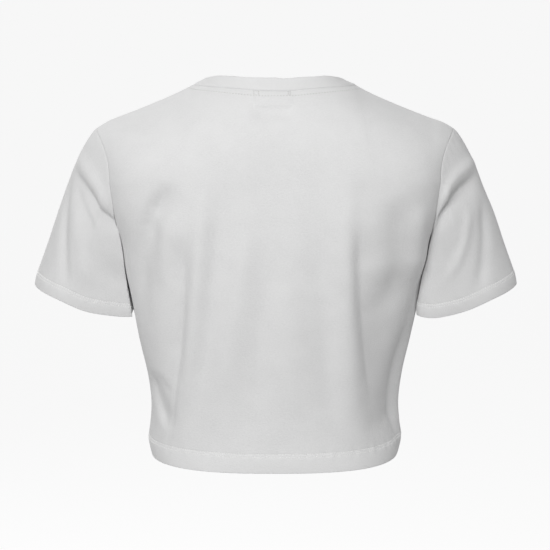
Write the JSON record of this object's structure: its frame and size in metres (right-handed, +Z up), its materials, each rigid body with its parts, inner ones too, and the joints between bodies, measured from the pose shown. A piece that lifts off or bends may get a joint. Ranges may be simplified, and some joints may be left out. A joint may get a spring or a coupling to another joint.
{
  "type": "crop top",
  "caption": "Hollow worn-shape cropped T-shirt with a crew neck, rib neckband, short set-in sleeves and a straight hem.",
  "frame": {"origin": "middle of the neck, level with the high points of the two shoulder seams and in the plane of the side seams", "axes": "+Z up, the front faces -Y, the wearer's left is +X"},
  "size_m": [0.5614, 0.2318, 0.4384],
  "materials": {
    "jersey": "matt combed-cotton single jersey",
    "rib": "matt cotton 1x1 rib",
    "tape": "smooth woven satin tape"
  },
  "bodies": {
    "root": {"back": "jersey", "front": "jersey", "sleeve_left": "jersey", "sleeve_right": "jersey", "neckband": "rib", "label": "tape"}
  },
  "joints": []
}
